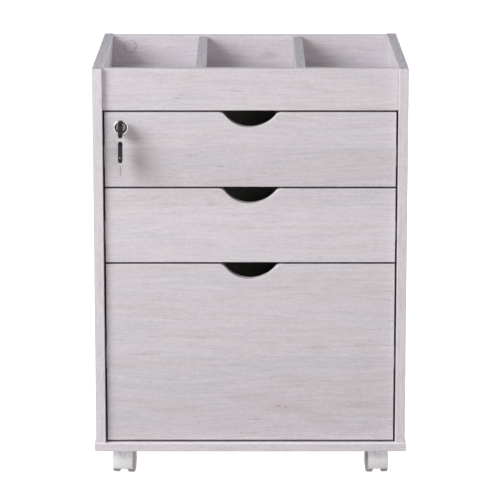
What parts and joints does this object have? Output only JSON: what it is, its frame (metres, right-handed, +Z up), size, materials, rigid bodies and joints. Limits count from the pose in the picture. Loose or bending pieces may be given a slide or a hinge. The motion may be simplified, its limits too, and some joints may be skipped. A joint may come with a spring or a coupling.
{
  "type": "rolling pedestal cabinet",
  "caption": "Rolling pedestal cabinet with an open divided tray on top, scooped box drawers, a file drawer, a keyed lock and hooded twin-wheel casters.",
  "frame": {"origin": "on the floor, under the centre of the whole object's box", "axes": "+X to the right of someone facing the front, -Y out of the front, +Z up"},
  "size_m": [0.484, 0.4344, 0.65],
  "materials": {
    "laminate": "white-washed wood grain, matt",
    "drawer_board": "plain white melamine",
    "hardboard": "smooth hardboard",
    "zinc_steel": "zinc plated",
    "chrome": "bright nickel",
    "black_plastic": "moulded, satin",
    "white_plastic": "moulded, satin",
    "grey_plastic": "moulded nylon"
  },
  "bodies": {
    "carcass": {"side_panel_left": "laminate", "side_panel_right": "laminate", "base_panel": "laminate", "back_panel": "laminate", "front_rail": "laminate", "tray_floor": "laminate", "tray_divider_left": "laminate", "tray_divider_right": "laminate", "cam_fittings": "zinc_steel", "cam_cover_cap": "laminate", "base_screws": "zinc_steel", "lock_keeper": "zinc_steel", "slide_cabinet_members": "zinc_steel", "caster_plates": "zinc_steel", "caster_screws": "zinc_steel"},
    "drawer_1": {"drawer_1_front": "laminate", "drawer_1_sides": "drawer_board", "drawer_1_back": "drawer_board", "drawer_1_bottom": "hardboard", "drawer_1_slide_runners": "zinc_steel", "lock_housing": "chrome", "lock_nut": "zinc_steel"},
    "drawer_2": {"drawer_2_front": "laminate", "drawer_2_sides": "drawer_board", "drawer_2_back": "drawer_board", "drawer_2_bottom": "hardboard", "drawer_2_slide_runners": "zinc_steel"},
    "file_drawer": {"file_drawer_front": "laminate", "file_drawer_sides": "drawer_board", "file_drawer_back": "drawer_board", "file_drawer_bottom": "hardboard", "file_drawer_slide_runners": "zinc_steel", "file_bars": "zinc_steel"},
    "drawer_1_middles": {"drawer_1_slide_middles": "zinc_steel"},
    "drawer_2_middles": {"drawer_2_slide_middles": "zinc_steel"},
    "file_drawer_middles": {"file_drawer_slide_middles": "zinc_steel"},
    "lock_rotor": {"lock_cylinder": "chrome", "lock_cam": "zinc_steel", "lock_cam_screw": "zinc_steel", "key_head": "black_plastic", "key_blade": "chrome"},
    "ring": {"key_ring": "chrome"},
    "spare_key": {"spare_key_head": "black_plastic", "spare_key_blade": "chrome"},
    "swivel_front_left": {"caster_hood_front_left": "white_plastic", "caster_axle_front_left": "zinc_steel"},
    "wheel_left_front_left": {"caster_wheel_left_front_left": "grey_plastic"},
    "wheel_right_front_left": {"caster_wheel_right_front_left": "grey_plastic"},
    "swivel_front_right": {"caster_hood_front_right": "white_plastic", "caster_axle_front_right": "zinc_steel"},
    "wheel_left_front_right": {"caster_wheel_left_front_right": "grey_plastic"},
    "wheel_right_front_right": {"caster_wheel_right_front_right": "grey_plastic"},
    "swivel_rear_left": {"caster_hood_rear_left": "white_plastic", "caster_axle_rear_left": "zinc_steel"},
    "wheel_left_rear_left": {"caster_wheel_left_rear_left": "grey_plastic"},
    "wheel_right_rear_left": {"caster_wheel_right_rear_left": "grey_plastic"},
    "swivel_rear_right": {"caster_hood_rear_right": "white_plastic", "caster_axle_rear_right": "zinc_steel"},
    "wheel_left_rear_right": {"caster_wheel_left_rear_right": "grey_plastic"},
    "wheel_right_rear_right": {"caster_wheel_right_rear_right": "grey_plastic"}
  },
  "joints": [
    {"name": "drawer_1_pull", "type": "slide", "parent": "carcass", "child": "drawer_1", "axis": [0, -1, 0], "range_m": [0, 0.33]},
    {"name": "drawer_1_middles_pull", "type": "slide", "parent": "carcass", "child": "drawer_1_middles", "axis": [0, -1, 0], "range_m": [0, 0.165]},
    {"name": "drawer_2_pull", "type": "slide", "parent": "carcass", "child": "drawer_2", "axis": [0, -1, 0], "range_m": [0, 0.33]},
    {"name": "drawer_2_middles_pull", "type": "slide", "parent": "carcass", "child": "drawer_2_middles", "axis": [0, -1, 0], "range_m": [0, 0.165]},
    {"name": "file_drawer_pull", "type": "slide", "parent": "carcass", "child": "file_drawer", "axis": [0, -1, 0], "range_m": [0, 0.33]},
    {"name": "file_drawer_middles_pull", "type": "slide", "parent": "carcass", "child": "file_drawer_middles", "axis": [0, -1, 0], "range_m": [0, 0.165]},
    {"name": "lock_turn", "type": "hinge", "parent": "drawer_1", "child": "lock_rotor", "pos_m": [-0.197, -0.17485, 0.559], "axis": [0, -1, 0], "range_deg": [0, 90]},
    {"name": "ring_swing", "type": "hinge", "parent": "lock_rotor", "child": "ring", "pos_m": [-0.197, -0.20515, 0.55451], "axis": [-1, 0, 0], "range_deg": [-10, 60]},
    {"name": "spare_key_swing", "type": "hinge", "parent": "ring", "child": "spare_key", "pos_m": [-0.197, -0.20515, 0.53651], "axis": [-1, 0, 0], "range_deg": [-10, 25]},
    {"name": "swivel_turn_front_left", "type": "hinge", "parent": "carcass", "child": "swivel_front_left", "pos_m": [-0.2, -0.13885, 0.05], "axis": [0, 0, 1], "continuous": true},
    {"name": "wheel_left_spin_front_left", "type": "hinge", "parent": "swivel_front_left", "child": "wheel_left_front_left", "pos_m": [-0.19833, -0.12294, 0.02], "axis": [0.9945, -0.1045, 0], "continuous": true},
    {"name": "wheel_right_spin_front_left", "type": "hinge", "parent": "swivel_front_left", "child": "wheel_right_front_left", "pos_m": [-0.19833, -0.12294, 0.02], "axis": [0.9945, -0.1045, 0], "continuous": true},
    {"name": "swivel_turn_front_right", "type": "hinge", "parent": "carcass", "child": "swivel_front_right", "pos_m": [0.2, -0.13885, 0.05], "axis": [0, 0, 1], "continuous": true},
    {"name": "wheel_left_spin_front_right", "type": "hinge", "parent": "swivel_front_right", "child": "wheel_left_front_right", "pos_m": [0.19861, -0.12291, 0.02], "axis": [0.9962, 0.0872, 0], "continuous": true},
    {"name": "wheel_right_spin_front_right", "type": "hinge", "parent": "swivel_front_right", "child": "wheel_right_front_right", "pos_m": [0.19861, -0.12291, 0.02], "axis": [0.9962, 0.0872, 0], "continuous": true},
    {"name": "swivel_turn_rear_left", "type": "hinge", "parent": "carcass", "child": "swivel_rear_left", "pos_m": [-0.2, 0.17315, 0.05], "axis": [0, 0, 1], "continuous": true},
    {"name": "wheel_left_spin_rear_left", "type": "hinge", "parent": "swivel_rear_left", "child": "wheel_left_rear_left", "pos_m": [-0.20112, 0.18911, 0.02], "axis": [0.9976, 0.0698, 0], "continuous": true},
    {"name": "wheel_right_spin_rear_left", "type": "hinge", "parent": "swivel_rear_left", "child": "wheel_right_rear_left", "pos_m": [-0.20112, 0.18911, 0.02], "axis": [0.9976, 0.0698, 0], "continuous": true},
    {"name": "swivel_turn_rear_right", "type": "hinge", "parent": "carcass", "child": "swivel_rear_right", "pos_m": [0.2, 0.17315, 0.05], "axis": [0, 0, 1], "continuous": true},
    {"name": "wheel_left_spin_rear_right", "type": "hinge", "parent": "swivel_rear_right", "child": "wheel_left_rear_right", "pos_m": [0.20084, 0.18913, 0.02], "axis": [0.9986, -0.0523, 0], "continuous": true},
    {"name": "wheel_right_spin_rear_right", "type": "hinge", "parent": "swivel_rear_right", "child": "wheel_right_rear_right", "pos_m": [0.20084, 0.18913, 0.02], "axis": [0.9986, -0.0523, 0], "continuous": true}
  ],
  "couplings": [
    {"joint": "drawer_1_middles_pull", "follows": "drawer_1_pull", "ratio": 0.5},
    {"joint": "drawer_2_middles_pull", "follows": "drawer_2_pull", "ratio": 0.5},
    {"joint": "file_drawer_middles_pull", "follows": "file_drawer_pull", "ratio": 0.5}
  ]
}
